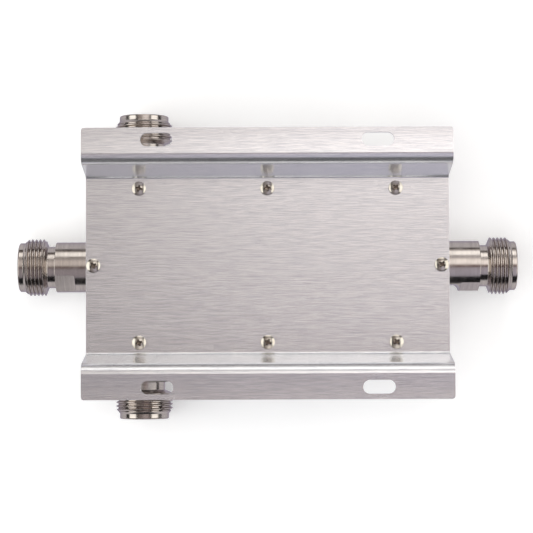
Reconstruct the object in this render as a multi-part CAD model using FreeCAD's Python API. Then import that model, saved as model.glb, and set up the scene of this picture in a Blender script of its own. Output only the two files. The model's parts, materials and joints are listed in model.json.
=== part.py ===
import FreeCAD, Part
import math
import os

# Three-way microwave power splitter with four threaded coaxial jacks. A milled tray holds a
# microstrip board, and a bent sheet with two slotted flanges closes the tray and mounts it.
# Millimetres, +X towards the input jack, +Z from the tray's closed face to the flanges.
# The origin lies under the middle of the part, on the tray's closed face.

Vector = FreeCAD.Vector
UP = Vector(0, 0, 1)

# Tray, milled from one block
housing_length = 100.0
housing_width = 46.0
housing_height = 18.0
wall = 4.0
pocket_radius = 3.0
edge_break = 0.4

# Bent sheet that is the lid and the mounting bracket
sheet = 1.5
channel_gap = 1.35
flange_height = 14.0
flange_width = 9.4
wall_lean = 11.1
root_radius = 0.6
shoulder_radius = 3.0
slot_length = 8.7
slot_width = 3.7
slot_pitch = 59.5
slot_inset = 3.3
slot_break = 0.25
flange_corner_radius = 0.8

# Small pan-head screws
screw_radius = 1.0
head_radius = 1.93
head_height = 1.3
head_rim = 0.5
crown_radius = 1.35
recess_width = 0.5
recess_span = 2.1
recess_depth = 0.75
screw_hole_clearance = 0.2
tap_overrun = 0.7
lid_screw_length = 4.0
lid_screw_pitch = 35.35
lid_row_inset = 1.8
lid_end_inset = 2.1
board_screw_length = 5.0
board_screw_inset = 4.5
board_screw_to_line = 9.0

# Threaded jacks
jack_height = 9.0
side_jack_inset = 15.4
body_radius = 7.0
body_length = 9.1
neck_radius = 5.8
neck_length = 2.2
thread_radius = 7.94
thread_length = 4.4
thread_run_out = 0.9
thread_lead_in = 1.3
nose_radius = 6.85
nose_length = 1.5
lip_break = 0.3
mouth_radius = 4.05
mouth_depth = 9.1
bead_radius = 3.5
bead_length = 6.0
tail_radius = 2.13
shank_radius = 4.75
bore_overrun = 0.5
wrench_across = 12.3
wrench_start = 3.5
lock_flat_height = 5.3
lock_flat_length = 2.6
lock_flat_runout = 0.8
lock_to_wrench_turn = 20.6
input_turn = 90.0
end_turn = 150.0
front_turn = 160.0
rear_turn = -150.0

# Centre contacts
contact_radius = 1.52
contact_recess = 5.0
contact_grip = 4.0
socket_radius = 0.825
socket_depth = 4.6
socket_slot = 0.3
socket_slot_depth = 3.8
contact_break = 0.2
pin_radius = 0.635
pin_reach = 3.0
solder_film = 0.1
solder_width = 2.6
solder_height = 1.2
solder_length = 2.2

# Board
board_thickness = 0.8
copper_thickness = 0.07
board_gap = 0.25
line_width = 2.2
section_widths = (0.9, 1.3, 1.8)
line_pitch = 5.2
mitre_leg = 1.8
feed_length = 14.0
output_run = 18.0
resistor_length = 4.9
resistor_width = 2.5
resistor_thickness = 0.6

# Clearances between pieces that fit into each other
thread_fit = 0.03
press_fit_gap = 0.02

# Levels and places that follow from the sizes above
half_length = housing_length / 2
half_width = housing_width / 2
web_top = housing_height + sheet
flange_top = web_top + flange_height
channel_half = half_width + channel_gap
shoulder_y = channel_half + flange_height * math.tan(math.radians(wall_lean))
flange_edge_y = shoulder_y + flange_width
slot_y = flange_edge_y - slot_inset
thread_start = body_length + neck_length + thread_run_out
thread_end = thread_start + thread_length
jack_front = thread_end + thread_lead_in + nose_length
mouth_floor = jack_front - mouth_depth
bead_floor = mouth_floor - bead_length
contact_tip = jack_front - contact_recess
contact_seat = mouth_floor - contact_grip
copper_top = jack_height - pin_radius - solder_film
board_top = copper_top - copper_thickness
board_base = board_top - board_thickness
board_half_length = half_length - wall - board_gap
board_half_width = half_width - wall - board_gap
side_jack_x = side_jack_inset - half_length
junction_x = half_length - wall - feed_length
outputs_x = side_jack_x + output_run
section_length = (junction_x - outputs_x) / len(section_widths)

# Each jack: where its axis leaves the tray, which way it points, and where screwing it home left its flats
JACKS = {
    "input": (Vector(half_length, 0, jack_height), Vector(1, 0, 0), input_turn),
    "end_output": (Vector(-half_length, 0, jack_height), Vector(-1, 0, 0), end_turn),
    "front_output": (Vector(side_jack_x, -half_width, jack_height), Vector(0, -1, 0), front_turn),
    "rear_output": (Vector(side_jack_x, half_width, jack_height), Vector(0, 1, 0), rear_turn),
}


def turned(profile):
    """Solid of revolution about +Z from a closed list of (radius, height) points."""
    points = [Vector(radius, 0, height) for radius, height in profile]
    face = Part.Face(Part.makePolygon(points + points[:1]))
    return face.revolve(Vector(0, 0, 0), UP, 360)


def slab(x_size, y_size, z_low, z_high, x=0.0, y=0.0):
    """Box centred on (x, y)."""
    corner = Vector(x - x_size / 2, y - y_size / 2, z_low)
    return Part.makeBox(x_size, y_size, z_high - z_low, corner)


def rounded_slab(half_x, half_y, z_low, z_high, radius):
    """Box about the Z axis with rounded upright edges."""
    block = slab(2 * half_x, 2 * half_y, z_low, z_high)
    return block.makeFillet(radius, upright_edges(block))


def upright_edges(shape):
    """Straight edges that run along Z."""
    found = []
    for edge in shape.Edges:
        box = edge.BoundBox
        if box.XLength < 1e-6 and box.YLength < 1e-6:
            found.append(edge)
    return found


def aimed(shape, place, direction, turn=0.0):
    """Carries a shape built along +Z to a jack: +Z goes to its direction and +X to world up."""
    across = direction.cross(UP)
    facing = FreeCAD.Rotation(UP, across, direction, "ZXY")
    spin = FreeCAD.Rotation(Vector(0, 0, 1), turn)
    moved = shape.copy()
    moved.Placement = FreeCAD.Placement(place, facing.multiply(spin))
    return moved


def group(solids):
    return Part.makeCompound(solids)


def lid_screw_places():
    rows = []
    for side in (-1, 1):
        for column in (-1, 0, 1):
            rows.append((column * lid_screw_pitch, side * (half_width - lid_row_inset)))
    ends = [(side * (half_length - lid_end_inset), 0.0) for side in (-1, 1)]
    return rows + ends


def board_screw_places():
    right = board_half_length - board_screw_inset
    left = side_jack_x + line_width / 2 + board_screw_to_line
    depth = board_half_width - board_screw_inset
    return [(x, y) for x in (left, (left + right) / 2, right) for y in (-depth, depth)]


def round_hole(x, y, radius, z_low, z_high):
    return Part.makeCylinder(radius, z_high - z_low, Vector(x, y, z_low))


def make_housing():
    """Open tray with a thick floor for the board, tapped for the jacks and both sets of screws."""
    block = slab(housing_length, housing_width, 0, housing_height)
    tray = block.makeChamfer(edge_break, block.Edges)
    pocket = rounded_slab(half_length - wall, half_width - wall, board_base, housing_height + 1, pocket_radius)
    tray = tray.cut(pocket)
    cuts = []
    for x, y in lid_screw_places():
        depth = lid_screw_length - sheet + tap_overrun
        cuts.append(round_hole(x, y, screw_radius + thread_fit, housing_height - depth, housing_height + 1))
    for x, y in board_screw_places():
        tip = board_top - board_screw_length - tap_overrun
        cuts.append(round_hole(x, y, screw_radius + thread_fit, tip, board_base + 1))
    for place, direction, turn in JACKS.values():
        inner_end = place - direction * (wall + bore_overrun)
        reach = wall + bore_overrun + 1
        cuts.append(Part.makeCylinder(shank_radius + thread_fit, reach, inner_end, direction))
    return tray.cut(cuts)


def corner_round(before, corner, after, radius):
    """Start, middle and end of the arc that rounds a corner."""
    into = (before - corner).normalize()
    out = (after - corner).normalize()
    half_angle = into.getAngle(out) / 2
    start = corner + into * (radius / math.tan(half_angle))
    end = corner + out * (radius / math.tan(half_angle))
    bisector = (into + out).normalize()
    centre = corner + bisector * (radius / math.sin(half_angle))
    return start, centre - bisector * radius, end


def rounded_run(points, radii):
    """Edges through the points, with each inner corner rounded."""
    edges = []
    last = points[0]
    for index, radius in enumerate(radii, start=1):
        start, middle, end = corner_round(points[index - 1], points[index], points[index + 1], radius)
        edges.append(Part.LineSegment(last, start).toShape())
        edges.append(Part.Arc(start, middle, end).toShape())
        last = end
    edges.append(Part.LineSegment(last, points[-1]).toShape())
    return edges


def bracket_outline(x):
    """Closed section of the bent sheet across the part, in the plane at x."""
    lean = math.radians(wall_lean)
    # The far face of the leaning wall is one sheet thickness away, so its corners shift by this much
    shift = sheet * math.tan((math.pi / 2 - lean) / 2)
    upper = [(flange_edge_y, flange_top), (shoulder_y, flange_top), (channel_half, web_top)]
    lower = [
        (flange_edge_y, flange_top - sheet),
        (shoulder_y + shift, flange_top - sheet),
        (channel_half + shift, web_top - sheet),
    ]
    upper_radii = (shoulder_radius, root_radius)
    lower_radii = (shoulder_radius - sheet, root_radius + sheet)

    def across(half, radii):
        right = [Vector(x, y, z) for y, z in half]
        left = [Vector(x, -y, z) for y, z in reversed(half)]
        return right + left, list(radii) + list(reversed(radii))

    top_points, top_radii = across(upper, upper_radii)
    bottom_points, bottom_radii = across(lower, lower_radii)
    edges = rounded_run(top_points, top_radii) + rounded_run(bottom_points, bottom_radii)
    edges.append(Part.LineSegment(top_points[0], bottom_points[0]).toShape())
    edges.append(Part.LineSegment(top_points[-1], bottom_points[-1]).toShape())
    return Part.Wire(Part.__sortEdges__(edges))


def slot_cutter(x, y):
    """Upright slot with round ends, widened where the mounting face is deburred."""

    def obround(z_low, z_high, grow_low, grow_high):
        parts = []
        run = slot_length / 2 - slot_width / 2
        radius = slot_width / 2
        height = z_high - z_low
        for side in (-1, 1):
            centre = Vector(x + side * run, y, z_low)
            if grow_low == grow_high:
                parts.append(Part.makeCylinder(radius + grow_low, height, centre))
            else:
                parts.append(Part.makeCone(radius + grow_low, radius + grow_high, height, centre))
        half_low = radius + grow_low
        half_high = radius + grow_high
        section = [
            Vector(x - run, y - half_low, z_low),
            Vector(x - run, y + half_low, z_low),
            Vector(x - run, y + half_high, z_high),
            Vector(x - run, y - half_high, z_high),
        ]
        wedge = Part.Face(Part.makePolygon(section + section[:1])).extrude(Vector(2 * run, 0, 0))
        return parts[0].fuse([parts[1], wedge])

    through = obround(flange_top - sheet - 1, flange_top + 1, 0.0, 0.0)
    rim = obround(flange_top - slot_break, flange_top, 0.0, slot_break)
    return [through, rim]


def make_bracket():
    """Lid with two leaning walls and two slotted flanges, bent from one sheet."""
    start = -half_length
    bracket = Part.Face(bracket_outline(start)).extrude(Vector(housing_length, 0, 0))
    rounded = []
    for edge in upright_edges(bracket):
        centre = edge.BoundBox.Center
        if centre.x * centre.y > 0 and centre.z > web_top:
            rounded.append(edge)
    bracket = bracket.makeFillet(flange_corner_radius, rounded)
    cuts = []
    for side_x in (-1, 1):
        for side_y in (-1, 1):
            cuts += slot_cutter(side_x * slot_pitch / 2, side_y * slot_y)
    for x, y in lid_screw_places():
        cuts.append(round_hole(x, y, screw_radius + screw_hole_clearance, housing_height - 1, web_top + 1))
    return bracket.cut(cuts)


def make_screw(x, y, seat, length):
    """Pan head on a plain shank, its head seated at the height given."""
    screw = turned([
        (0, -length),
        (screw_radius, -length),
        (screw_radius, 0),
        (head_radius, 0),
        (head_radius, head_rim),
        (crown_radius, head_height),
        (0, head_height),
    ])
    screw.translate(Vector(x, y, seat))
    return screw


def cross_recess(x, y, seat):
    """Cross-shaped pocket in a screw's head."""
    floor = seat + head_height - recess_depth
    top = seat + head_height + 1
    along = slab(recess_span, recess_width, floor, top, x, y)
    return along.fuse(slab(recess_width, recess_span, floor, top, x, y))


def make_lid_screws():
    screws = []
    for x, y in lid_screw_places():
        screw = make_screw(x, y, web_top, lid_screw_length)
        screws.append(screw.cut(cross_recess(x, y, web_top)))
    return group(screws)


def make_board_screws():
    return group([make_screw(x, y, board_top, board_screw_length) for x, y in board_screw_places()])


def make_shell():
    """Jack body along +Z from the tray's wall: shank, body with milled flats, neck, thread and nose."""
    outline = [
        (shank_radius, -wall),
        (shank_radius, 0),
        (body_radius, 0),
        (body_radius, body_length),
        (neck_radius, body_length),
        (neck_radius, body_length + neck_length),
        (thread_radius, thread_start),
        (thread_radius, thread_end),
        (nose_radius, thread_end + thread_lead_in),
        (nose_radius, jack_front - lip_break),
        (nose_radius - lip_break, jack_front),
        (mouth_radius, jack_front),
        (mouth_radius, mouth_floor),
        (bead_radius, mouth_floor),
        (bead_radius, bead_floor),
        (tail_radius, bead_floor),
        (tail_radius, -wall),
    ]
    shell = turned(outline)
    beyond = 2 * body_radius
    lock_end = lock_flat_length + lock_flat_runout
    lock_flat = [
        Vector(lock_flat_height, -beyond, 0),
        Vector(lock_flat_height, -beyond, lock_flat_length),
        Vector(body_radius, -beyond, lock_end),
        Vector(beyond, -beyond, lock_end),
        Vector(beyond, -beyond, 0),
    ]
    cuts = [Part.Face(Part.makePolygon(lock_flat + lock_flat[:1])).extrude(Vector(0, 2 * beyond, 0))]
    depth = beyond - wrench_across / 2
    for side in (-1, 1):
        x = side * (wrench_across / 2 + depth / 2)
        cut = slab(depth, 2 * beyond, wrench_start, body_length + neck_length / 2, x)
        cut.rotate(Vector(0, 0, 0), UP, -lock_to_wrench_turn)
        cuts.append(cut)
    return shell.cut(cuts)


def make_insulator():
    """White bead that fills the jack behind its mouth and carries the centre contact."""
    gap = press_fit_gap
    return turned([
        (pin_radius + gap, -wall),
        (tail_radius - gap, -wall),
        (tail_radius - gap, bead_floor + gap),
        (bead_radius - gap, bead_floor + gap),
        (bead_radius - gap, mouth_floor),
        (contact_radius + gap, mouth_floor),
        (contact_radius + gap, contact_seat),
        (pin_radius + gap, contact_seat),
    ])


def make_contact():
    """Slotted socket for a plug's pin, with a thin tail that reaches over the board."""
    tail = -wall - pin_reach
    body = turned([
        (0, tail),
        (pin_radius, tail),
        (pin_radius, contact_seat),
        (contact_radius, contact_seat),
        (contact_radius, contact_tip - contact_break),
        (contact_radius - contact_break, contact_tip),
        (socket_radius + contact_break, contact_tip),
        (socket_radius, contact_tip - contact_break),
        (socket_radius, contact_tip - socket_depth),
        (0, contact_tip - socket_depth),
    ])
    low = contact_tip - socket_slot_depth
    span = 2 * contact_radius + 1
    slots = [
        slab(span, socket_slot, low, contact_tip + 1),
        slab(socket_slot, span, low, contact_tip + 1),
    ]
    return body.cut(slots)


def make_board():
    """Board that fills the tray's pocket, drilled for its screws. Its underside is ground copper."""
    board = rounded_slab(board_half_length, board_half_width, board_base, board_top, pocket_radius)
    holes = []
    for x, y in board_screw_places():
        holes.append(round_hole(x, y, screw_radius + screw_hole_clearance, board_base - 1, board_top + 1))
    return board.cut(holes)


def strip(x_low, x_high, y_low, y_high):
    """Rectangle of board copper."""
    corner = Vector(x_low, y_low, board_top)
    return Part.makeBox(x_high - x_low, y_high - y_low, copper_thickness, corner)


def make_traces():
    """Input line, three branches that widen in steps, and a line to each output jack."""
    half = line_width / 2
    branch_y = (-line_pitch, 0.0, line_pitch)
    feed = strip(junction_x, board_half_length, -half, half)
    first = section_widths[0]
    bar = strip(junction_x - first, junction_x, -line_pitch - first / 2, line_pitch + first / 2)
    pieces = [bar]
    for y in branch_y:
        end = junction_x
        for width in section_widths:
            pieces.append(strip(end - section_length, end, y - width / 2, y + width / 2))
            end -= section_length
    pieces.append(strip(-board_half_length, outputs_x, -half, half))
    for side in (-1, 1):
        y = side * line_pitch
        pieces.append(strip(side_jack_x - half, outputs_x, y - half, y + half))
        edge = side * board_half_width
        pieces.append(strip(side_jack_x - half, side_jack_x + half, min(y, edge), max(y, edge)))
    copper = feed.fuse(pieces).removeSplitter()
    corners = []
    for side in (-1, 1):
        corners.append(mitre(side_jack_x - half, side * (line_pitch - half), side))
    return copper.cut(corners)


def mitre(x, y, side):
    """Wedge that takes the outer corner off a line's right-angle turn."""
    z = board_top - 1
    points = [Vector(x, y, z), Vector(x + mitre_leg, y, z), Vector(x, y + side * mitre_leg, z)]
    return Part.Face(Part.makePolygon(points + points[:1])).extrude(Vector(0, 0, 2 + copper_thickness))


def make_resistors():
    """Isolation resistors between neighbouring branches at the end of each step."""
    chips = []
    for step in range(len(section_widths)):
        x = junction_x - (step + 1) * section_length + resistor_width / 2
        for side in (-1, 1):
            y = side * line_pitch / 2
            top = copper_top + resistor_thickness
            chips.append(slab(resistor_width, resistor_length, copper_top, top, x, y))
    return group(chips)


def make_solder():
    """Solder that joins each contact's tail to its line."""
    half = solder_width / 2
    joints = []
    for place, direction, turn in JACKS.values():
        base = copper_top - jack_height
        left = Vector(base, -half, 0)
        right = Vector(base, half, 0)
        crown = Vector(base + solder_height, 0, 0)
        edges = [Part.Arc(left, crown, right).toShape(), Part.LineSegment(right, left).toShape()]
        start = -wall - pin_reach
        loaf = Part.Face(Part.Wire(edges)).extrude(Vector(0, 0, solder_length))
        loaf.translate(Vector(0, 0, start))
        pin = Part.makeCylinder(pin_radius, solder_length + 2, Vector(0, 0, start - 1))
        joints.append(aimed(loaf.cut(pin), place, direction))
    return group(joints)


def build_parts():
    parts = {
        "housing": make_housing(),
        "mounting_bracket": make_bracket(),
        "lid_screws": make_lid_screws(),
        "circuit_board": make_board(),
        "copper_traces": make_traces(),
        "isolation_resistors": make_resistors(),
        "board_screws": make_board_screws(),
        "contact_solder": make_solder(),
    }
    shell = make_shell()
    insulator = make_insulator()
    contact = make_contact()
    for name, (place, direction, turn) in JACKS.items():
        parts[name + "_shell"] = aimed(shell, place, direction, turn)
        parts[name + "_insulator"] = aimed(insulator, place, direction)
        parts[name + "_contact"] = aimed(contact, place, direction, 45.0)
    return parts


def main():
    os.makedirs("parts", exist_ok=True)
    for name, shape in build_parts().items():
        if not shape.isValid():
            raise ValueError(name + " is not a valid shape")
        shape.exportStep("parts/" + name + ".step")
        box = shape.BoundBox
        print(name, len(shape.Solids), "solids", round(shape.Volume, 1), "mm3",
              [round(v, 2) for v in (box.XMin, box.XMax, box.YMin, box.YMax, box.ZMin, box.ZMax)])


main()
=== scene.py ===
# %% [markdown]
# # Dressing a power splitter for its photograph
# The part is a flat milled tray with four threaded jacks, closed by one bent sheet that is both its lid
# and its mounting bracket. It is seen from almost straight above, lying on its closed face, so nearly
# everything the camera sees is metal: brushed sheet, turned and plated jacks, and eight small screws.
# Metal has hardly any colour of its own and shows the room instead, so this lesson spends as much care on
# the studio and on the grain of each surface as it does on the shapes.
#
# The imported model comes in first. It fixes where everything is and how large it is, in metres.

import json
import math

import bpy
from mathutils import Matrix, Vector


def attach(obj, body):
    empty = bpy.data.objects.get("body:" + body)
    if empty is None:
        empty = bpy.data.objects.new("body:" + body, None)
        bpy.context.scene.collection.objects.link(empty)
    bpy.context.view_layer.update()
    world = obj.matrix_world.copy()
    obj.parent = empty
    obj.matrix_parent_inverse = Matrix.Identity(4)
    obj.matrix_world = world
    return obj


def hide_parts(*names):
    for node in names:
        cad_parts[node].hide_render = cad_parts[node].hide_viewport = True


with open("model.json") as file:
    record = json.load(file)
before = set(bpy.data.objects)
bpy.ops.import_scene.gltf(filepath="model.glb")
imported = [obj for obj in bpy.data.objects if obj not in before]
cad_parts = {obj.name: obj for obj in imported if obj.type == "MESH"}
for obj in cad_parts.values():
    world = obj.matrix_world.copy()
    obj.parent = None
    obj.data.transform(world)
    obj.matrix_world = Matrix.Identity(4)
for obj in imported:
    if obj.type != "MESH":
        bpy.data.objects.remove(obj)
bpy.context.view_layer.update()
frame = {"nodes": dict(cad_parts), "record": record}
MM = 0.001


# %% [markdown]
# ## Camera
# The photograph was taken from about half a metre above the lid, a little to the front and tilted back by
# 2.4 degrees. Matching 24 known corners of the part with their places in the picture gave the position,
# the tilt, a quarter of a degree of roll and the focal length. A long lens from that height keeps the
# flanges only slightly larger than the web between them.

# %% Camera
CAMERA_PLACE = (0.0, -21.4, 519.5)
CAMERA_TURN = (2.405, 0.045, -0.236)
CAMERA_LENS = 122.9

camera_data = bpy.data.cameras.new("camera")
camera_data.sensor_width = 36.0
camera_data.lens = CAMERA_LENS
camera_data.clip_start = 0.02
camera = bpy.data.objects.new("camera", camera_data)
camera.location = Vector(CAMERA_PLACE) * MM
camera.rotation_euler = [math.radians(turn) for turn in CAMERA_TURN]
bpy.context.scene.collection.objects.link(camera)
bpy.context.scene.camera = camera
bpy.context.scene.view_settings.view_transform = "Standard"
bpy.context.scene.view_settings.look = "None"
print("camera at", [round(v, 4) for v in camera.location], "lens", camera_data.lens)

# %% [markdown]
# ## Hand tools
# Every new piece is modelled with the same operators that the menus call. These few helpers save typing:
# one clears the selection before a new primitive, because an operator works on everything that is
# selected; one selects points by where they are; one runs a modifier and applies it.

# %% Hand tools
def clear_selection():
    if bpy.context.object and bpy.context.object.mode != "OBJECT":
        bpy.ops.object.mode_set(mode="OBJECT")
    bpy.ops.object.select_all(action="DESELECT")


def select_only(piece):
    clear_selection()
    piece.select_set(True)
    bpy.context.view_layer.objects.active = piece


def edit(piece):
    select_only(piece)
    bpy.ops.object.mode_set(mode="EDIT")


def done():
    bpy.ops.object.mode_set(mode="OBJECT")
    return bpy.context.object


def pick(piece, kind, wanted):
    """In edit mode, selects the vertices, edges or faces that the test wants, and nothing else."""
    bpy.ops.mesh.select_mode(type={"vertices": "VERT", "edges": "EDGE", "polygons": "FACE"}[kind])
    bpy.ops.mesh.select_all(action="DESELECT")
    bpy.ops.object.mode_set(mode="OBJECT")
    chosen = [item for item in getattr(piece.data, kind) if wanted(item)]
    for item in chosen:
        item.select = True
    bpy.ops.object.mode_set(mode="EDIT")
    return len(chosen)


def finish_modifier(piece, kind, **settings):
    select_only(piece)
    modifier = piece.modifiers.new(kind.lower(), kind)
    for key, value in settings.items():
        setattr(modifier, key, value)
    bpy.ops.object.modifier_apply(modifier=modifier.name)


def carve(piece, cutter, operation="DIFFERENCE"):
    """Boolean with one cutter, which is thrown away afterwards."""
    finish_modifier(piece, "BOOLEAN", operation=operation, solver="EXACT", object=cutter)
    bpy.data.objects.remove(cutter, do_unlink=True)


def settle(piece):
    """Puts the object back at the origin, unturned and unscaled, with its place in its mesh."""
    select_only(piece)
    bpy.ops.object.transform_apply(location=True, rotation=True, scale=True)


def tidy_mesh(piece, weld=0.0005 * MM):
    edit(piece)
    bpy.ops.mesh.select_all(action="SELECT")
    bpy.ops.mesh.remove_doubles(threshold=weld)
    bpy.ops.mesh.normals_make_consistent(inside=False)
    return done()


def soften(piece, angle=20.0):
    """Smooth shading that stays crisp over sharp edges, and flat over the large faces.
    Weighting compares areas in square metres, so its threshold is a tenth of a square millimetre."""
    select_only(piece)
    bpy.ops.object.shade_smooth_by_angle(angle=math.radians(angle))
    finish_modifier(piece, "WEIGHTED_NORMAL", keep_sharp=True, weight=80, thresh=1e-7)


def draw_chain(name, points):
    """A chain of edges through points in millimetres, drawn by pulling one vertex along."""
    clear_selection()
    start = Vector(points[0]) * MM
    bpy.ops.mesh.primitive_plane_add(size=MM, location=start)
    piece = bpy.context.object
    piece.name = name
    bpy.ops.object.mode_set(mode="EDIT")
    bpy.ops.mesh.select_mode(type="VERT")
    bpy.ops.mesh.select_all(action="SELECT")
    bpy.ops.mesh.merge(type="CENTER")
    for before, after in zip(points, points[1:]):
        step = (Vector(after) - Vector(before)) * MM
        bpy.ops.mesh.extrude_vertices_move(TRANSFORM_OT_translate={"value": step})
    done()
    settle(piece)
    return piece


TURNED_STEPS = 112


def lathe(name, profile, steps=TURNED_STEPS):
    """Turns a profile of (radius, height) once round the Z axis, as on a lathe."""
    piece = draw_chain(name, [(radius, 0.0, height) for radius, height in profile])
    edit(piece)
    bpy.ops.mesh.select_all(action="SELECT")
    bpy.ops.mesh.spin(steps=steps, angle=math.tau, center=(0, 0, 0), axis=(0, 0, 1))
    done()
    return tidy_mesh(piece)


print("tools ready")

# %% [markdown]
# ## Bent sheet
# The bracket is one sheet of aluminium, 1.5 mm thick. A fabricator bends it four times: up from the web
# into a wall that leans out by 11 degrees, then flat again into a flange. In Blender the same thing is
# drawn as the section of its upper face, with each corner beveled to the bend's radius, pulled along the
# length, and given its thickness by Solidify. Working from the face that was drawn keeps the inner and
# outer radii of a bend one thickness apart, as in real sheet. Each flange slopes down a little after its
# bend and flattens towards the free edge, a fifth of a millimetre in all. The photograph shows that as a
# darker strip beside the front bend.

# %% Section of the sheet
HALF_LENGTH = 50.0
SHEET = 1.5
WEB_TOP = 19.5
FLANGE_TOP = 33.5
CHANNEL_HALF = 24.35
WALL_LEAN = math.radians(11.1)
SHOULDER_Y = CHANNEL_HALF + (FLANGE_TOP - WEB_TOP) * math.tan(WALL_LEAN)
FLANGE_EDGE_Y = SHOULDER_Y + 9.4
ROOT_RADIUS = 0.6
SHOULDER_RADIUS = 3.0
FLANGE_RUN = 6.9
FLANGE_DROOP = 0.2

flange_points = []
for step in (1.0, 0.75, 0.5, 0.25, 0.0):
    droop = FLANGE_DROOP * (1 - (1 - step) ** 2)
    flange_points.append((FLANGE_EDGE_Y - FLANGE_RUN * (1 - step), FLANGE_TOP - droop))
half_section = flange_points + [(SHOULDER_Y, FLANGE_TOP), (CHANNEL_HALF, WEB_TOP)]
section = half_section + [(-y, z) for y, z in reversed(half_section)]
sheet = draw_chain("bent_sheet", [(-HALF_LENGTH, y, z) for y, z in section])


def round_corners(piece, height, radius, steps):
    """Bevels the chain's corners at one height so that the arc has the radius given."""
    edit(piece)
    turn = math.pi / 2 - WALL_LEAN
    pick(piece, "vertices", lambda v: abs(v.co.z - height * MM) < 0.002 * MM and
         abs(v.co.y) < (SHOULDER_Y + 0.1) * MM)
    bpy.ops.mesh.bevel(offset=radius * MM * math.tan(turn / 2), segments=steps, affect="VERTICES")
    return done()


round_corners(sheet, FLANGE_TOP, SHOULDER_RADIUS, 14)
round_corners(sheet, WEB_TOP, ROOT_RADIUS, 6)
edit(sheet)
bpy.ops.mesh.select_all(action="SELECT")
bpy.ops.mesh.extrude_region_move(TRANSFORM_OT_translate={"value": (2 * HALF_LENGTH * MM, 0, 0)})
done()
print("section points:", len(sheet.data.vertices) // 2, "flange edge at", round(FLANGE_EDGE_Y, 2), "mm")

# %% [markdown]
# The flanges' four outer corners are rounded while the sheet has no thickness yet, so one vertex is one
# corner. Then comes Solidify, downwards from the drawn face.

# %% Corners and thickness
CORNER_RADIUS = 0.8

edit(sheet)
pick(sheet, "vertices", lambda v: abs(v.co.y) > (FLANGE_EDGE_Y - 0.01) * MM)
bpy.ops.mesh.bevel(offset=CORNER_RADIUS * MM, segments=6, affect="VERTICES")
bpy.ops.mesh.select_all(action="SELECT")
bpy.ops.mesh.normals_make_consistent(inside=False)
done()
upward = sum(p.normal.z * p.area for p in sheet.data.polygons)
if upward < 0:
    edit(sheet)
    bpy.ops.mesh.select_all(action="SELECT")
    bpy.ops.mesh.flip_normals()
    done()
finish_modifier(sheet, "SOLIDIFY", thickness=SHEET * MM, offset=-1.0, use_even_offset=True)
low = min(v.co.z for v in sheet.data.vertices) / MM
print("sheet is", round(low, 3), "to", FLANGE_TOP, "mm high")

# %% [markdown]
# ## Slots and screw holes
# The bolts go through four slots with round ends, and the small screws through eight drilled holes. A
# slot's cutter starts as a cylinder whose two halves are moved apart, which gives true half-round ends.

# %% Cut the slots and holes
SLOT_LENGTH = 8.7
SLOT_WIDTH = 3.7
SLOT_X = 29.75
SLOT_Y = FLANGE_EDGE_Y - 3.3
SCREW_PITCH = 35.35
SCREW_ROW_Y = 21.2
END_SCREW_X = 47.9
SCREW_HOLE_RADIUS = 1.2
SCREW_PLACES = [(column * SCREW_PITCH, side * SCREW_ROW_Y) for side in (-1, 1) for column in (-1, 0, 1)]
SCREW_PLACES += [(-END_SCREW_X, 0.0), (END_SCREW_X, 0.0)]


def drill(x, y, z, radius, vertices):
    clear_selection()
    bpy.ops.mesh.primitive_cylinder_add(
        vertices=vertices, radius=radius * MM, depth=4 * MM, location=Vector((x, y, z)) * MM)
    return bpy.context.object


def slot_cutter(x, y):
    cutter = drill(x, y, FLANGE_TOP - SHEET / 2, SLOT_WIDTH / 2, 48)
    settle(cutter)
    stretch = (SLOT_LENGTH - SLOT_WIDTH) / 2 * MM
    for side in (-1, 1):
        edit(cutter)
        pick(cutter, "vertices", lambda v: side * (v.co.x - x * MM) > 0.01 * MM)
        bpy.ops.transform.translate(value=(side * stretch, 0, 0))
        done()
    return cutter


for side_x in (-1, 1):
    for side_y in (-1, 1):
        carve(sheet, slot_cutter(side_x * SLOT_X, side_y * SLOT_Y))
for x, y in SCREW_PLACES:
    carve(sheet, drill(x, y, WEB_TOP, SCREW_HOLE_RADIUS, 32))
tidy_mesh(sheet)
print("sheet after cutting:", len(sheet.data.polygons), "faces")

# %% [markdown]
# A sheared edge is never knife sharp. A bevel a seventh of a millimetre wide along every sharp edge
# catches the light as the thin bright rim that the photograph shows round the slots.

# %% Break the sheet's edges
EDGE_BREAK = 0.14

finish_modifier(sheet, "BEVEL", width=EDGE_BREAK * MM, segments=2, limit_method="ANGLE",
                angle_limit=math.radians(40), use_clamp_overlap=True)
soften(sheet)
print("sheet finished:", len(sheet.data.polygons), "faces")

# %% [markdown]
# ## Jack shells
# Each jack is turned from brass bar and plated: a round body against the tray, a narrow neck, the
# coupling thread, and a plain nose round the mouth. On a lathe the whole outline is one profile turned
# about the axis, and Spin does the same here. The profile includes the bores, so the mouth is really
# open.

# %% Turn the shell
SPIGOT_RADIUS = 4.75
SPIGOT_LENGTH = 4.0
BODY_RADIUS = 7.0
BODY_END = 9.1
NECK_RADIUS = 5.8
THREAD_RADIUS = 7.94
THREAD_ROOT = 7.24
THREAD_START = 11.3
CREST_START = 12.2
CREST_END = 16.6
THREAD_END = 17.9
NOSE_RADIUS = 6.85
FRONT = 19.4
MOUTH_RADIUS = 4.05
MOUTH_FLOOR = 10.3
BEAD_RADIUS = 3.5
BEAD_FLOOR = 4.3
TAIL_RADIUS = 2.13


def slope_place(radius, low, high):
    """How far along the axis a cone has the radius, between two points of (radius, place)."""
    return low[1] + (high[1] - low[1]) * (radius - low[0]) / (high[0] - low[0])


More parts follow.
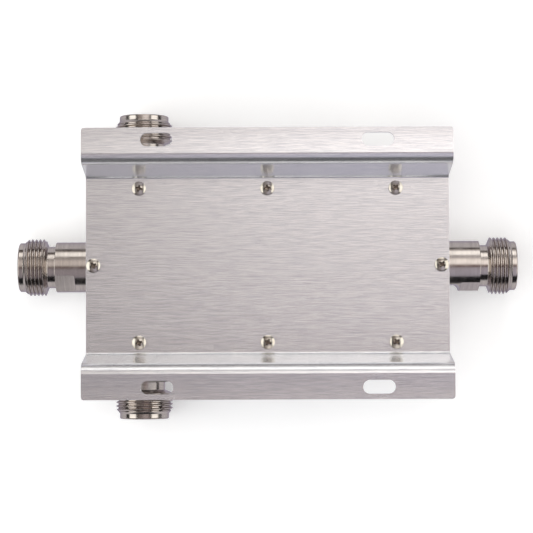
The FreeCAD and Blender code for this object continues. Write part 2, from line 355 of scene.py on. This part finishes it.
root_start = slope_place(THREAD_ROOT, (NECK_RADIUS, THREAD_START), (THREAD_RADIUS, CREST_START))
root_end = slope_place(THREAD_ROOT, (NOSE_RADIUS, THREAD_END), (THREAD_RADIUS, CREST_END))
shell_profile = [
    (TAIL_RADIUS, -SPIGOT_LENGTH), (SPIGOT_RADIUS - 0.1, -SPIGOT_LENGTH),
    (SPIGOT_RADIUS, 0.1 - SPIGOT_LENGTH), (SPIGOT_RADIUS, 0.0),
    (BODY_RADIUS - 0.06, 0.0), (BODY_RADIUS, 0.06),
    (BODY_RADIUS, BODY_END - 0.1), (BODY_RADIUS - 0.03, BODY_END - 0.03), (BODY_RADIUS - 0.1, BODY_END),
    (NECK_RADIUS + 0.1, BODY_END), (NECK_RADIUS + 0.03, BODY_END + 0.03), (NECK_RADIUS, BODY_END + 0.1),
    (NECK_RADIUS, THREAD_START - 0.1), (NECK_RADIUS + 0.07, THREAD_START + 0.03),
    (THREAD_ROOT, root_start), (THREAD_ROOT, root_end),
    (NOSE_RADIUS + 0.05, THREAD_END - 0.06), (NOSE_RADIUS, THREAD_END + 0.04),
    (NOSE_RADIUS, FRONT - 0.32), (NOSE_RADIUS - 0.05, FRONT - 0.2),
    (NOSE_RADIUS - 0.2, FRONT - 0.05), (NOSE_RADIUS - 0.32, FRONT),
    (MOUTH_RADIUS + 0.15, FRONT), (MOUTH_RADIUS + 0.04, FRONT - 0.05), (MOUTH_RADIUS, FRONT - 0.15),
    (MOUTH_RADIUS, MOUTH_FLOOR), (BEAD_RADIUS, MOUTH_FLOOR),
    (BEAD_RADIUS, BEAD_FLOOR), (TAIL_RADIUS, BEAD_FLOOR), (TAIL_RADIUS, -SPIGOT_LENGTH),
]
shell = lathe("jack_shell", shell_profile)
print("shell turned:", len(shell.data.polygons), "faces")

# %% [markdown]
# ## The thread
# The thread has 24 turns to the inch. One ridge's section is drawn beside the core and wound round it
# with the Screw modifier, which lifts it by one pitch in each turn. The wound ridge is longer than
# needed. A turned blank with chamfered ends then trims it, as the chamfers on the real bar do, so that
# the first and last turns fade out instead of ending in a step.

# %% Wind the thread and trim it
PITCH = 25.4 / 24
TURNS = 8
RIDGE_FOOT = THREAD_ROOT - 0.16
RIDGE_START = THREAD_START - 0.5 * PITCH

half_base = (PITCH / 2) * 0.985
half_crest = PITCH / 16
ridge = draw_chain("thread_ridge", [(radius, 0.0, RIDGE_START + along) for radius, along in (
    (RIDGE_FOOT, -half_base), (THREAD_RADIUS - 0.03, -half_crest - 0.04), (THREAD_RADIUS, -half_crest),
    (THREAD_RADIUS, half_crest), (THREAD_RADIUS - 0.03, half_crest + 0.04), (RIDGE_FOOT, half_base),
    (RIDGE_FOOT, -half_base))])
tidy_mesh(ridge)
finish_modifier(ridge, "SCREW", axis="Z", angle=math.tau, screw_offset=PITCH * MM, iterations=TURNS,
                steps=TURNED_STEPS, render_steps=TURNED_STEPS, use_merge_vertices=False)
edit(ridge)
bpy.ops.mesh.select_all(action="SELECT")
bpy.ops.mesh.fill_holes(sides=12)
done()
tidy_mesh(ridge)
print("ridge:", len(ridge.data.polygons), "faces")

blank = lathe("thread_blank", [
    (0.0, THREAD_START), (NECK_RADIUS + 0.02, THREAD_START), (THREAD_RADIUS + 0.02, CREST_START),
    (THREAD_RADIUS + 0.02, CREST_END), (NOSE_RADIUS + 0.02, THREAD_END), (0.0, THREAD_END),
])
carve(ridge, blank, "INTERSECT")
tidy_mesh(ridge)
print("trimmed ridge:", len(ridge.data.polygons), "faces")
carve(shell, ridge, "UNION")
tidy_mesh(shell)
print("threaded shell:", len(shell.data.polygons), "faces")

# %% [markdown]
# ## Flats on the body
# A spanner holds the jack by two milled flats on the outer half of its body. The cutter has a rounded
# corner, as an end mill leaves it, so the flat runs out in a short curve. A second, shorter flat next to
# the tray shows only on the input jack's outline.

# %% Mill the flats
WRENCH_FLAT = 6.3
WRENCH_START = 3.5
LOCK_FLAT = 5.3
LOCK_LENGTH = 2.6
LOCK_RUNOUT = 0.8
LOCK_TO_WRENCH = 20.6
BLOCK_DEPTH = 8.0
BLOCK_WIDTH = 20.0


def mill(low, high, height, runout, turn, steps):
    """A block over the body at the given height, from low to high along the axis. The runout rounds its
    inner edge at the low end, and a negative one chamfers the edge at the high end."""
    clear_selection()
    bpy.ops.mesh.primitive_cube_add(size=MM)
    block = bpy.context.object
    block.scale = (BLOCK_DEPTH, BLOCK_WIDTH, high - low)
    block.location = ((height + BLOCK_DEPTH / 2) * MM, 0.0, (high + low) / 2 * MM)
    settle(block)
    edit(block)
    corner = Vector((height, low if runout > 0 else high)) * MM
    pick(block, "edges", lambda e: all(
        (block.data.vertices[index].co.xz - corner).length < 1e-6 for index in e.vertices))
    bpy.ops.mesh.bevel(offset=abs(runout) * MM, segments=steps, affect="EDGES")
    done()
    block.rotation_euler = (0.0, 0.0, math.radians(turn))
    settle(block)
    return block


for side in (0.0, 180.0):
    carve(shell, mill(WRENCH_START, BODY_END + 1.0, WRENCH_FLAT, 0.6, side - LOCK_TO_WRENCH, 5))
carve(shell, mill(-0.01, LOCK_LENGTH + LOCK_RUNOUT, LOCK_FLAT, -LOCK_RUNOUT, 0.0, 1))
tidy_mesh(shell)
soften(shell)
print("shell with flats:", len(shell.data.polygons), "faces")

# %% [markdown]
# ## Four jacks
# All four are the same turned part, each with a mesh of its own. Screwing them home left their flats at
# different angles. The local Z axis goes to the jack's direction and local X to the sky.

# %% Place the jacks
JACK_HEIGHT = 9.0
SIDE_JACK_X = -34.6
JACKS = {
    "input": ((50.0, 0.0, JACK_HEIGHT), (1, 0, 0), 90.0),
    "end_output": ((-50.0, 0.0, JACK_HEIGHT), (-1, 0, 0), 153.5),
    "front_output": ((SIDE_JACK_X, -23.0, JACK_HEIGHT), (0, -1, 0), 160.0),
    "rear_output": ((SIDE_JACK_X, 23.0, JACK_HEIGHT), (0, 1, 0), -150.0),
}


def jack_matrix(place, direction, turn):
    outward = Vector(direction)
    up = Vector((0, 0, 1))
    axes = Matrix((up, outward.cross(up), outward)).transposed().to_4x4()
    return Matrix.Translation(Vector(place) * MM) @ axes @ Matrix.Rotation(math.radians(turn), 4, "Z")


def place_copy(original, name, matrix):
    """A copy with a mesh of its own, put in its place."""
    select_only(original)
    bpy.ops.object.duplicate()
    copy = bpy.context.object
    copy.name = name
    copy.matrix_world = matrix
    settle(copy)
    return copy


jack_shells = {}
for name, (place, direction, turn) in JACKS.items():
    copy = place_copy(shell, name + "_threaded_shell", jack_matrix(place, direction, turn))
    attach(copy, "root")
    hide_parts(name + "_shell")
    jack_shells[name] = copy
bpy.data.objects.remove(shell, do_unlink=True)
print("jacks:", ", ".join(jack_shells))

# %% [markdown]
# ## Small screws
# Eight pan-head screws hold the sheet on the tray. The head is a low dome on a short upright rim, which
# is why each of them shows the two side lights as crescents near its edge. A dome could be cut from a
# sphere, but the whole screw is round about one axis, so one turned profile makes head and shank
# together.

# %% One screw
HEAD_RADIUS = 1.93
HEAD_HEIGHT = 1.3
DOME_RISE = 0.52
SHANK_RADIUS = 1.0
SCREW_LENGTH = 4.0

dome_radius = (HEAD_RADIUS ** 2 + DOME_RISE ** 2) / (2 * DOME_RISE)


def dome_height(radius):
    return HEAD_HEIGHT - dome_radius + math.sqrt(dome_radius ** 2 - radius ** 2)


rim = HEAD_RADIUS - 0.06
screw = lathe("lid_screw", [
    (0.0, -SCREW_LENGTH), (SHANK_RADIUS, -SCREW_LENGTH), (SHANK_RADIUS, 0.0), (HEAD_RADIUS, 0.0),
    (HEAD_RADIUS, dome_height(rim) - 0.07), (HEAD_RADIUS - 0.02, dome_height(rim) - 0.025),
] + [(rim * step / 9, dome_height(rim * step / 9)) for step in range(9, -1, -1)], steps=64)
top = max(v.co.z for v in screw.data.vertices) / MM
print("screw head top at", round(top, 3), "mm,", len(screw.data.polygons), "faces")

# %% [markdown]
# ## Cross recess
# The recess is pressed with a tapered punch. Two crossing blocks with smaller lower ends make its wings,
# and a cone deepens the middle. Cutting them one after the other keeps each cut simple. The recess's
# faces get a material slot of their own, which carries painted shade: a dark brown colour. They are the
# faces near the middle that lie below the dome.

# %% Press the recess
RECESS_SPAN = 2.6
RECESS_WIDTH = 0.7
RECESS_DEPTH = 0.9
WING_TAPER = (0.5, 0.62, 1.0)
PUNCH_RADIUS = 0.84
PUNCH_TIP = 0.16
PUNCH_LENGTH = 1.5
PUNCH_DROP = 0.25
RECESS_REACH = 1.3


def recess_wing(turn):
    clear_selection()
    bpy.ops.mesh.primitive_cube_add(size=MM)
    wing = bpy.context.object
    wing.scale = (RECESS_SPAN, RECESS_WIDTH, 2 * RECESS_DEPTH)
    wing.location = (0, 0, HEAD_HEIGHT * MM)
    settle(wing)
    edit(wing)
    pick(wing, "polygons", lambda p: p.normal.z < -0.9)
    bpy.ops.transform.resize(value=WING_TAPER)
    done()
    wing.rotation_euler = (0, 0, math.radians(turn))
    settle(wing)
    return wing


carve(screw, recess_wing(0))
carve(screw, recess_wing(90))
clear_selection()
bpy.ops.mesh.primitive_cone_add(
    vertices=24, radius1=PUNCH_RADIUS * MM, radius2=PUNCH_TIP * MM, depth=PUNCH_LENGTH * MM,
    rotation=(math.pi, 0, 0), location=(0, 0, (HEAD_HEIGHT - PUNCH_DROP) * MM))
punch = bpy.context.object
settle(punch)
carve(screw, punch)
tidy_mesh(screw)
finish_modifier(screw, "BEVEL", width=0.04 * MM, segments=2, limit_method="ANGLE",
                angle_limit=math.radians(35))
soften(screw, 25.0)
for part in ("screw_outside", "screw_recess"):
    screw.data.materials.append(bpy.data.materials.new(part))
edit(screw)
pressed = pick(screw, "polygons", lambda p: p.center.xy.length < RECESS_REACH * MM and
               0.05 < p.center.z / MM < dome_height(p.center.xy.length / MM) - 0.04)
screw.active_material_index = 1
bpy.ops.object.material_slot_assign()
done()
print("screw with recess:", len(screw.data.polygons), "faces,", pressed, "of them in the recess")

# %% [markdown]
# ## Eight screws
# One finished screw is copied to the eight holes, each copy with its own mesh, so that any of them can be
# changed later. No two screws stop at the same angle, so every copy is turned differently and its cross
# catches the light in its own way.

# %% Eight screws
SCREW_TURNS = (20, 65, 40, 75, 10, 50, 30, 55)
screws = []
for index, ((x, y), turn) in enumerate(zip(SCREW_PLACES, SCREW_TURNS), start=1):
    place = Matrix.Translation(Vector((x, y, WEB_TOP)) * MM) @ Matrix.Rotation(math.radians(turn), 4, "Z")
    copy = place_copy(screw, f"lid_screw_{index}", place)
    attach(copy, "root")
    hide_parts("lid_screws")
    screws.append(copy)
bpy.data.objects.remove(screw, do_unlink=True)
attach(sheet, "root")
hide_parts("mounting_bracket")
print("screws:", len(screws))

# %% [markdown]
# ## Materials
# A finish is built from the way it was made. Brushing leaves fine lines along the sheet, so its noise is
# stretched along X and its highlight spreads across the lines. Turning leaves rings, so on the jacks the
# highlight spreads along the axis. All patterns read Object coordinates, in metres. The helpers below
# build the few node groups that every finish needs: stretched noise, a change of range, a tint and a
# bump.

# %% Material helpers
def new_finish(name, color, roughness, metallic=1.0):
    material = bpy.data.materials.new(name)
    material.use_nodes = True
    nodes = material.node_tree.nodes
    shader = nodes["Principled BSDF"]
    shader.inputs["Base Color"].default_value = (*color, 1.0)
    shader.inputs["Roughness"].default_value = roughness
    shader.inputs["Metallic"].default_value = metallic
    return material, nodes, material.node_tree.links, shader


def stretched_noise(nodes, links, scale, detail=3.0, roughness=0.55, distortion=0.0):
    """Noise whose cells have the given number per metre along X, Y and Z."""
    coordinates = nodes.new("ShaderNodeTexCoord")
    mapping = nodes.new("ShaderNodeMapping")
    mapping.inputs["Scale"].default_value = scale
    noise = nodes.new("ShaderNodeTexNoise")
    noise.inputs["Scale"].default_value = 1.0
    noise.inputs["Detail"].default_value = detail
    noise.inputs["Roughness"].default_value = roughness
    noise.inputs["Distortion"].default_value = distortion
    links.new(coordinates.outputs["Object"], mapping.inputs["Vector"])
    links.new(mapping.outputs["Vector"], noise.inputs["Vector"])
    return noise.outputs["Fac"]


def remap(nodes, links, value, low, high, new_low, new_high):
    spread = nodes.new("ShaderNodeMapRange")
    spread.inputs["From Min"].default_value = low
    spread.inputs["From Max"].default_value = high
    spread.inputs["To Min"].default_value = new_low
    spread.inputs["To Max"].default_value = new_high
    links.new(value, spread.inputs["Value"])
    return spread.outputs["Result"]


def vary_tone(nodes, links, shader, value, dark, light, low=0.3, high=0.7):
    """Base colour that goes from dark to light as the value goes from low to high."""
    ramp = nodes.new("ShaderNodeValToRGB")
    ramp.color_ramp.elements[0].color = (*dark, 1.0)
    ramp.color_ramp.elements[1].color = (*light, 1.0)
    links.new(remap(nodes, links, value, low, high, 0.0, 1.0), ramp.inputs["Fac"])
    links.new(ramp.outputs["Color"], shader.inputs["Base Color"])


def vary_roughness(nodes, links, shader, value, smooth, rough, low=0.3, high=0.7):
    """Roughness that goes from smooth to rough as the value goes from low to high."""
    links.new(remap(nodes, links, value, low, high, smooth, rough), shader.inputs["Roughness"])


def add_bump(nodes, links, shader, heights, depth):
    """Bump from one or more height values. Depth is how far a height of 1 stands out, in metres."""
    normal = None
    for height in heights:
        bump = nodes.new("ShaderNodeBump")
        bump.inputs["Strength"].default_value = 1.0
        bump.inputs["Distance"].default_value = depth
        links.new(height, bump.inputs["Height"])
        if normal:
            links.new(normal, bump.inputs["Normal"])
        normal = bump.outputs["Normal"]
    links.new(normal, shader.inputs["Normal"])


print("helpers ready")

# %% [markdown]
# ## Brushed sheet
# A grinding belt leaves thousands of fine lines along the sheet. One noise, stretched twenty times along
# X, drives both the tint and the bump, and a broader one changes the gloss a little. The highlight
# spreads across the lines through Anisotropic, with its tangent along X. The sheet isn't a pure mirror: a
# small share of plain diffuse light stands for what the scratches scatter.

# %% Brushed sheet
brushed, nodes, links, shader = new_finish("brushed_sheet", (0.95, 0.96, 0.98), 0.21, 0.87)
fine = stretched_noise(nodes, links, (180.0, 3600.0, 3600.0), detail=4.0, roughness=0.8)
broad = stretched_noise(nodes, links, (70.0, 1100.0, 1100.0), detail=2.0)
vary_tone(nodes, links, shader, fine, (0.735, 0.75, 0.785), (0.995, 1.0, 1.0), high=0.6)
vary_roughness(nodes, links, shader, broad, 0.20, 0.23)
shader.inputs["Anisotropic"].default_value = 0.6
shader.inputs["Anisotropic Rotation"].default_value = 0.25
along = nodes.new("ShaderNodeCombineXYZ")
along.inputs["X"].default_value = 1.0
links.new(along.outputs["Vector"], shader.inputs["Tangent"])
add_bump(nodes, links, shader, (fine,), 14e-6)
print("brushed sheet:", len(nodes), "nodes")

# %% [markdown]
# ## Plated jacks
# Turning marks are rings. The cross product of a jack's axis and the position points round the jack
# everywhere, so it serves as the tangent. Every jack has its own axis and place and therefore its own
# material. Specular Tint darkens the nickel where it is seen at a low angle, which keeps its edges clear
# against the pale floor.

# %% Plated jacks
def turned_finish(name, axis, centre, color, roughness, ring_scale):
    """Metal turned about the axis through centre, in millimetres. Rings run round the axis."""
    material, nodes, links, shader = new_finish(name, color, roughness)
    coordinates = nodes.new("ShaderNodeTexCoord")
    offset = nodes.new("ShaderNodeVectorMath")
    offset.operation = "SUBTRACT"
    offset.inputs[1].default_value = Vector(centre) * MM
    around = nodes.new("ShaderNodeVectorMath")
    around.operation = "CROSS_PRODUCT"
    around.inputs[0].default_value = axis
    links.new(coordinates.outputs["Object"], offset.inputs[0])
    links.new(offset.outputs["Vector"], around.inputs[1])
    unit = nodes.new("ShaderNodeVectorMath")
    unit.operation = "NORMALIZE"
    links.new(around.outputs["Vector"], unit.inputs[0])
    links.new(unit.outputs["Vector"], shader.inputs["Tangent"])
    shader.inputs["Anisotropic"].default_value = 0.35
    shader.inputs["Specular Tint"].default_value = (0.62, 0.60, 0.70, 1.0)
    shader.inputs["Anisotropic Rotation"].default_value = 0.25
    scale = [ring_scale if part else 60.0 for part in axis]
    rings = stretched_noise(nodes, links, scale, detail=3.0)
    stains = stretched_noise(nodes, links, (300.0, 300.0, 300.0), detail=3.0)
    dark = [part * 0.88 for part in color]
    light = [min(1.0, part * 1.08) for part in color]
    vary_tone(nodes, links, shader, rings, dark, light)
    vary_roughness(nodes, links, shader, stains, roughness * 0.8, roughness * 1.25, 0.35, 0.65)
    add_bump(nodes, links, shader, (rings,), 1.2e-6)
    return material


NICKEL = (0.66, 0.61, 0.56)
jack_finish = {}
for name, (place, direction, _) in JACKS.items():
    axis = tuple(abs(part) for part in direction)
    jack_finish[name] = turned_finish("nickel_plate_" + name, axis, place, NICKEL, 0.21, 2600.0)
print("plated:", ", ".join(jack_finish))

# %% [markdown]
# ## Small metal and the rest
# The screws are bright, and their recesses are coloured dull dark brown as painted shade. The milled tray
# shows faint cutter marks. The pieces inside the tray are hidden in the photograph but belong to the
# model,
# so each of them gets a simple finish: two close tones of noise and a little change in roughness.

# %% Small metal and the rest
screw_finish, nodes, links, shader = new_finish("plated_screw", (0.74, 0.69, 0.60), 0.16)
stains = stretched_noise(nodes, links, (900.0, 900.0, 900.0))
vary_tone(nodes, links, shader, stains, (0.60, 0.55, 0.47), (0.80, 0.76, 0.68))
vary_roughness(nodes, links, shader, stains, 0.12, 0.26)

# Painted shade: the recess is coloured dark brown, and darker still where the noise is low, in place of
# the shade inside it.
recess_shade_finish, nodes, links, shader = new_finish("pressed_recess_painted_shade", (0.30, 0.25, 0.20), 0.22)
recess_shade_noise = stretched_noise(nodes, links, (1500.0, 1500.0, 1500.0))
vary_tone(nodes, links, shader, recess_shade_noise, (0.08, 0.06, 0.05), (0.42, 0.36, 0.29))

milled, nodes, links, shader = new_finish("milled_tray", (0.80, 0.78, 0.79), 0.36)
arcs = stretched_noise(nodes, links, (140.0, 1500.0, 1500.0), detail=3.0, distortion=0.2)
vary_tone(nodes, links, shader, arcs, (0.74, 0.72, 0.73), (0.85, 0.83, 0.84))
vary_roughness(nodes, links, shader, arcs, 0.30, 0.42)
add_bump(nodes, links, shader, (arcs,), 3e-6)


def plain_finish(name, dark, light, roughness, metallic, cells, depth=0.0):
    """A simple finish: two close tones, and roughness that varies a little."""
    material, nodes, links, shader = new_finish(name, light, roughness, metallic)
    grain = stretched_noise(nodes, links, (cells, cells, cells))
    vary_tone(nodes, links, shader, grain, dark, light)
    vary_roughness(nodes, links, shader, grain, roughness * 0.85, roughness * 1.15)
    if depth:
        add_bump(nodes, links, shader, (grain,), depth)
    return material


PLAIN_FINISHES = {
    "white_ptfe": ("turned_white_bead", (0.84, 0.84, 0.82), (0.92, 0.92, 0.90), 0.42, 0.0, 700.0, 4e-6),
    "gold_plate": ("gold_plating", (0.80, 0.56, 0.22), (0.92, 0.70, 0.34), 0.18, 1.0, 500.0),
    "board_laminate": ("glass_laminate", (0.62, 0.56, 0.38), (0.74, 0.68, 0.50), 0.5, 0.0, 900.0, 5e-6),
    "board_copper": ("board_copper", (0.72, 0.40, 0.25), (0.86, 0.52, 0.35), 0.3, 1.0, 400.0),
    "resistor_body": ("chip_body", (0.03, 0.03, 0.035), (0.06, 0.06, 0.065), 0.35, 0.0, 800.0),
    "solder": ("soft_solder", (0.62, 0.62, 0.63), (0.76, 0.76, 0.77), 0.25, 1.0, 1200.0, 8e-6),
}
finishes = {slot: plain_finish(*values) for slot, values in PLAIN_FINISHES.items()}
finishes["milled_aluminium"] = milled
finishes["screw_steel"] = screw_finish
print("finishes:", ", ".join(finishes))

# %% [markdown]
# ## Dress every piece
# The record names a finish for every CAD node. The loop fills the nodes' material slots and leaves their
# meshes alone. The new pieces follow: one sheet, four jacks, and the screws with their two slots.

# %% Dress every piece
def dress(piece, material):
    if not piece.data.materials:
        piece.data.materials.append(material)
    for index in range(len(piece.data.materials)):
        piece.data.materials[index] = material


for row in frame["record"]["subparts"]:
    if row["material_slot"] in finishes:
        dress(frame["nodes"][row["node"]], finishes[row["material_slot"]])
dress(sheet, brushed)
for name, piece in jack_shells.items():
    dress(piece, jack_finish[name])
for piece in screws:
    piece.data.materials[0] = screw_finish
    piece.data.materials[1] = recess_shade_finish

# %% [markdown]
# ## Studio
# Shiny metal is lit by what it reflects. The bands on the jacks tell what stood round the table, because
# a cylinder shows everything from the front, over the camera, to the back. They show a softbox behind and
# one on either side, a pale ceiling that is brighter to the right, a narrow brown strip over the camera,
# and a dark room in front. The floor comes first. It is plain and pale, with a little light of its own
# that keeps it white. The jacks' rims show a greyer table than that, so the floor is left out of
# reflections and the room supplies it.

# %% Floor
clear_selection()
bpy.ops.mesh.primitive_plane_add(size=8.0, location=(0, 0, -0.0001))
floor = bpy.context.object
floor.name = "floor"
settle(floor)
floor.visible_glossy = False
floor_finish, nodes, links, shader = new_finish("pale_floor", (0.92, 0.935, 0.93), 0.9, 0.0)
shader.inputs["Specular IOR Level"].default_value = 0.0
shader.inputs["Emission Color"].default_value = (1.0, 1.0, 1.0, 1.0)
shader.inputs["Emission Strength"].default_value = 0.28
dress(floor, floor_finish)
print("floor ready")

# %% [markdown]
# ## Room
# The ceiling and the dark front are painted on the world by direction. The angle from the front over the
# top to the back picks a tone from a sweep. There are two sweeps, because the right jack saw a brighter
# ceiling than the left one, and the direction's X blends them. Far to the sides the world fades to dark,
# so that the two side lights stand out as crescents on the screw heads. Below the horizon everything is
# the grey of the table, which the jacks' rims and flats show, with a thin dark line between it and the
# softbox behind.

# %% Room
RIGHT_SWEEP = [
    (-90, (0.20, 0.20, 0.22)), (-84, (0.012, 0.012, 0.014)), (-54, (0.012, 0.012, 0.014)),
    (-50, (0.44, 0.42, 0.50)), (-28, (0.48, 0.445, 0.53)), (-11, (0.45, 0.42, 0.49)),
    (-7, (0.19, 0.13, 0.13)), (0, (0.19, 0.13, 0.13)), (5, (0.95, 0.88, 0.86)),
    (10, (1.38, 1.30, 1.29)), (27, (1.30, 1.225, 1.195)), (36, (0.56, 0.53, 0.54)),
    (47, (0.50, 0.47, 0.47)), (79, (0.50, 0.47, 0.47)), (82, (0.05, 0.04, 0.04)),
    (90, (0.05, 0.04, 0.04)),
]
LEFT_SWEEP = [
    (-90, (0.20, 0.20, 0.22)), (-84, (0.012, 0.012, 0.014)), (-54, (0.012, 0.012, 0.014)),
    (-50, (0.23, 0.21, 0.23)), (-28, (0.29, 0.25, 0.26)), (-11, (0.26, 0.235, 0.25)),
    (-7, (0.14, 0.11, 0.11)), (0, (0.14, 0.11, 0.11)), (5, (0.40, 0.35, 0.33)),
    (10, (0.45, 0.40, 0.38)), (27, (0.45, 0.39, 0.37)), (36, (0.34, 0.31, 0.30)),
    (47, (0.22, 0.19, 0.18)), (79, (0.22, 0.19, 0.18)), (82, (0.04, 0.03, 0.03)),
    (90, (0.04, 0.03, 0.03)),
]
TABLE_TONE = (0.60, 0.58, 0.61)
SWEEP_BLEND = (-0.14, 0.03)
SIDE_FADE = (0.32, 0.56)
SIDE_STRENGTH = 0.06
HORIZON = (-0.03, 0.0)

world = bpy.data.worlds.new("studio")
bpy.context.scene.world = world
world.use_nodes = True
nodes, links = world.node_tree.nodes, world.node_tree.links
background = nodes["Background"]


def calculate(operation, first, second=None):
    """One step of arithmetic on sockets."""
    step = nodes.new("ShaderNodeMath")
    step.operation = operation
    links.new(first, step.inputs[0])
    if second is not None:
        links.new(second, step.inputs[1])
    return step.outputs["Value"]


def mix_tones(share, first, second):
    """From the first tone to the second as the share goes from 0 to 1. The node has inputs for every data
    type: 0 is the share, 6 and 7 are the two colours, and output 2 is the mixed one."""
    mixed = nodes.new("ShaderNodeMix")
    mixed.data_type = "RGBA"
    links.new(share, mixed.inputs[0])
    for index, tone in ((6, first), (7, second)):
        if isinstance(tone, bpy.types.NodeSocket):
            links.new(tone, mixed.inputs[index])
        else:
            mixed.inputs[index].default_value = (*tone, 1.0)
    return mixed.outputs[2]


def paint_sweep(tones):
    """Colour by the angle from the front (-90 degrees) over the top to the back (90 degrees)."""
    sweep = nodes.new("ShaderNodeValToRGB")
    for degrees, color in tones[1:-1]:
        sweep.color_ramp.elements.new((degrees + 90) / 180)
    for element, (degrees, color) in zip(sweep.color_ramp.elements, tones):
        element.position = (degrees + 90) / 180
        element.color = (*color, 1.0)
    links.new(front_to_back, sweep.inputs["Fac"])
    return sweep.outputs["Color"]


coordinates = nodes.new("ShaderNodeTexCoord")
parts = nodes.new("ShaderNodeSeparateXYZ")
links.new(coordinates.outputs["Generated"], parts.inputs["Vector"])
x, y, z = (parts.outputs[part] for part in "XYZ")
front_to_back = remap(nodes, links, calculate("ARCTAN2", y, z), -math.pi / 2, math.pi / 2, 0.0, 1.0)
rightness = remap(nodes, links, x, *SWEEP_BLEND, 0.0, 1.0)
ceiling = mix_tones(rightness, paint_sweep(LEFT_SWEEP), paint_sweep(RIGHT_SWEEP))
below = remap(nodes, links, z, *HORIZON, 1.0, 0.0)
links.new(mix_tones(below, ceiling, TABLE_TONE), background.inputs["Color"])
faded = remap(nodes, links, calculate("ABSOLUTE", x), *SIDE_FADE, 1.0, SIDE_STRENGTH)
links.new(calculate("MAXIMUM", faded, below), background.inputs["Strength"])
print("room painted with", len(LEFT_SWEEP) + len(RIGHT_SWEEP), "tones")

# %% [markdown]
# ## Softboxes
# Three area lights stand where the photograph's highlights come from. Their strength is given as
# radiance, because that is what metal shows, and is turned into watts by the light's size. The fourth
# light only brightens the floor and is left out of reflections, so the jacks don't show it.

# %% Softboxes
def softbox(name, azimuth, polar, distance, width, height, radiance, color, seen=True):
    """Area light that faces the part. Azimuth from +X, polar from straight up, both in degrees."""
    data = bpy.data.lights.new(name, "AREA")
    data.shape = "RECTANGLE"
    data.size = width
    data.size_y = height
    data.energy = radiance * math.pi * width * height
    data.color = color
    light = bpy.data.objects.new(name, data)
    across = math.sin(math.radians(polar)) * distance
    light.location = (across * math.cos(math.radians(azimuth)), across * math.sin(math.radians(azimuth)),
                      math.cos(math.radians(polar)) * distance)
    light.rotation_euler = light.location.to_track_quat("Z", "Y").to_euler()
    light.visible_camera = False
    light.visible_glossy = seen
    bpy.context.scene.collection.objects.link(light)


softbox("softbox_rear", 90, 60, 1.1, 0.8, 0.44, 1.06, (1.0, 0.99, 0.98))
softbox("softbox_right", 0, 52, 1.1, 1.3, 0.66, 1.45, (1.0, 0.98, 0.95))
softbox("softbox_left", 180, 54, 1.1, 1.3, 0.66, 1.5, (1.0, 0.99, 0.97))
softbox("floor_fill", 215, 30, 2.2, 2.8, 2.8, 1.25, (1.0, 1.0, 1.0), seen=False)
print("three softboxes and a fill for the floor")
